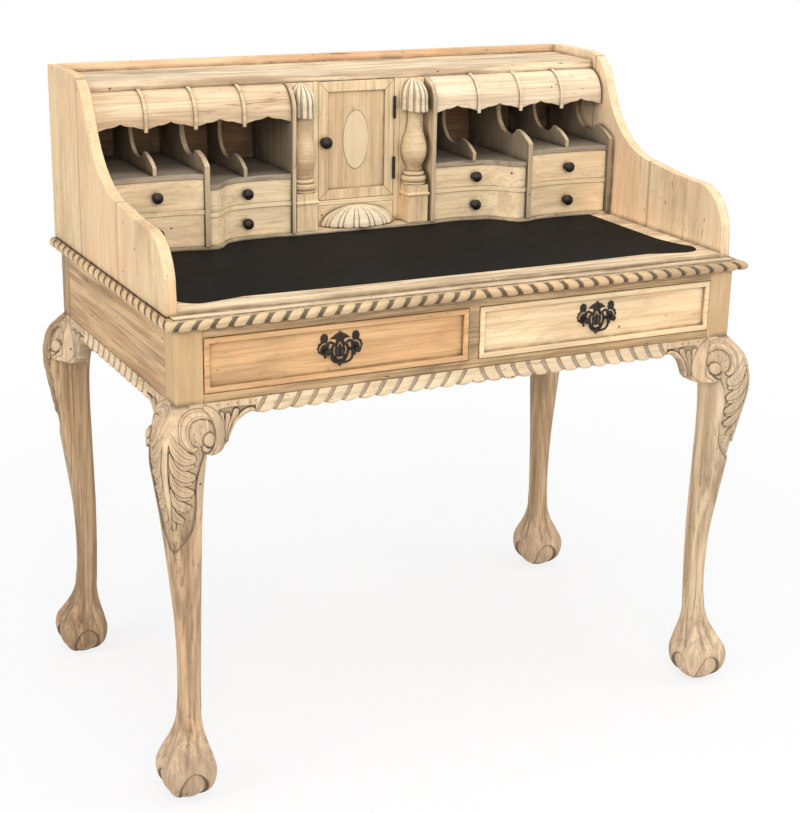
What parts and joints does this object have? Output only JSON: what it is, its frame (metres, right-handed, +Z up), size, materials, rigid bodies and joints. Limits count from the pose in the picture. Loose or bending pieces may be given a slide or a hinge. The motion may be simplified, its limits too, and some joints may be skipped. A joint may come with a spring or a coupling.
{
  "type": "bonheur du jour",
  "caption": "Small writing desk on carved cabriole legs with ball-and-claw feet, leather top, frieze drawers and a low nest of serpentine drawers, pigeonholes and a cupboard.",
  "frame": {"origin": "on the floor under the middle of the desk", "axes": "+X to the right as seen by the sitter, +Y from the sitter's side to the back, +Z up"},
  "size_m": [1.0432, 0.6356, 1.05],
  "materials": {
    "pale_wood": "bleached and waxed",
    "frieze_wood": "bleached and waxed",
    "drawer_front_wood": "bleached and waxed",
    "panel_wood": "bleached and waxed",
    "nest_wood": "bleached and waxed",
    "inner_wood": "bare and dark with age",
    "gallery_wood": "reddish, waxed",
    "black_leather": "matt",
    "dark_iron": "dark, rubbed"
  },
  "bodies": {
    "carcass": {"leg_front_right": "pale_wood", "leg_front_left": "pale_wood", "leg_back_right": "pale_wood", "leg_back_left": "pale_wood", "knee_brackets": "pale_wood", "apron_gadroon": "pale_wood", "rope_moulding": "pale_wood", "front_frame": "pale_wood", "frieze_boards": "frieze_wood", "desk_top": "frieze_wood", "writing_board": "frieze_wood", "drawer_runners": "inner_wood", "back_panel": "inner_wood", "pigeonhole_dividers": "inner_wood", "writing_leather": "black_leather", "side_panel_right": "panel_wood", "side_panel_left": "panel_wood", "end_cheeks": "panel_wood", "gallery_board": "gallery_wood", "top_shelf": "nest_wood", "ledge_board": "nest_wood", "tall_dividers": "nest_wood", "slide_screens": "nest_wood", "door_jambs": "nest_wood", "pigeonhole_shelves": "nest_wood", "drawer_blades": "nest_wood", "cupboard_floor": "nest_wood", "canopy_right": "nest_wood", "canopy_left": "nest_wood", "hinge_jamb_leaves": "dark_iron"},
    "frieze_drawer_right": {"frieze_drawer_right": "drawer_front_wood", "handle_plate_right": "dark_iron"},
    "bail_right": {"bail_right": "dark_iron"},
    "document_slide_right": {"document_slide_right": "nest_wood"},
    "frieze_drawer_left": {"frieze_drawer_left": "drawer_front_wood", "handle_plate_left": "dark_iron"},
    "bail_left": {"bail_left": "dark_iron"},
    "document_slide_left": {"document_slide_left": "nest_wood"},
    "drawer_outer_lower_right": {"drawer_outer_lower_right": "nest_wood", "knob_outer_lower_right": "dark_iron"},
    "drawer_outer_lower_left": {"drawer_outer_lower_left": "nest_wood", "knob_outer_lower_left": "dark_iron"},
    "drawer_outer_upper_right": {"drawer_outer_upper_right": "nest_wood", "knob_outer_upper_right": "dark_iron"},
    "drawer_outer_upper_left": {"drawer_outer_upper_left": "nest_wood", "knob_outer_upper_left": "dark_iron"},
    "drawer_inner_lower_right": {"drawer_inner_lower_right": "nest_wood", "knob_inner_lower_right": "dark_iron"},
    "drawer_inner_lower_left": {"drawer_inner_lower_left": "nest_wood", "knob_inner_lower_left": "dark_iron"},
    "drawer_inner_upper_right": {"drawer_inner_upper_right": "nest_wood", "knob_inner_upper_right": "dark_iron"},
    "drawer_inner_upper_left": {"drawer_inner_upper_left": "nest_wood", "knob_inner_upper_left": "dark_iron"},
    "shell_drawer": {"shell_drawer": "nest_wood"},
    "door": {"door_frame": "nest_wood", "door_panel": "nest_wood", "door_knob": "dark_iron", "hinge_door_leaves": "dark_iron"}
  },
  "joints": [
    {"name": "frieze_drawer_right_slide", "type": "slide", "parent": "carcass", "child": "frieze_drawer_right", "axis": [0, -1, 0], "range_m": [0, 0.3]},
    {"name": "bail_right_hinge", "type": "hinge", "parent": "frieze_drawer_right", "child": "bail_right", "pos_m": [0.22615, -0.2869, 0.6885], "axis": [-1, 0, 0], "range_deg": [0, 85]},
    {"name": "document_slide_right_slide", "type": "slide", "parent": "carcass", "child": "document_slide_right", "axis": [0, -1, 0], "range_m": [0, 0.085]},
    {"name": "frieze_drawer_left_slide", "type": "slide", "parent": "carcass", "child": "frieze_drawer_left", "axis": [0, -1, 0], "range_m": [0, 0.3]},
    {"name": "bail_left_hinge", "type": "hinge", "parent": "frieze_drawer_left", "child": "bail_left", "pos_m": [-0.22615, -0.2869, 0.6885], "axis": [-1, 0, 0], "range_deg": [0, 85]},
    {"name": "document_slide_left_slide", "type": "slide", "parent": "carcass", "child": "document_slide_left", "axis": [0, -1, 0], "range_m": [0, 0.085]},
    {"name": "drawer_outer_lower_right_slide", "type": "slide", "parent": "carcass", "child": "drawer_outer_lower_right", "axis": [0, -1, 0], "range_m": [0, 0.12]},
    {"name": "drawer_outer_lower_left_slide", "type": "slide", "parent": "carcass", "child": "drawer_outer_lower_left", "axis": [0, -1, 0], "range_m": [0, 0.12]},
    {"name": "drawer_outer_upper_right_slide", "type": "slide", "parent": "carcass", "child": "drawer_outer_upper_right", "axis": [0, -1, 0], "range_m": [0, 0.12]},
    {"name": "drawer_outer_upper_left_slide", "type": "slide", "parent": "carcass", "child": "drawer_outer_upper_left", "axis": [0, -1, 0], "range_m": [0, 0.12]},
    {"name": "drawer_inner_lower_right_slide", "type": "slide", "parent": "carcass", "child": "drawer_inner_lower_right", "axis": [0, -1, 0], "range_m": [0, 0.12]},
    {"name": "drawer_inner_lower_left_slide", "type": "slide", "parent": "carcass", "child": "drawer_inner_lower_left", "axis": [0, -1, 0], "range_m": [0, 0.12]},
    {"name": "drawer_inner_upper_right_slide", "type": "slide", "parent": "carcass", "child": "drawer_inner_upper_right", "axis": [0, -1, 0], "range_m": [0, 0.12]},
    {"name": "drawer_inner_upper_left_slide", "type": "slide", "parent": "carcass", "child": "drawer_inner_upper_left", "axis": [0, -1, 0], "range_m": [0, 0.12]},
    {"name": "shell_drawer_slide", "type": "slide", "parent": "carcass", "child": "shell_drawer", "axis": [0, -1, 0], "range_m": [0, 0.085]},
    {"name": "door_hinge", "type": "hinge", "parent": "carcass", "child": "door", "pos_m": [0.07105, 0.1464, 0.9203], "axis": [0, 0, 1], "range_deg": [0, 90]}
  ]
}
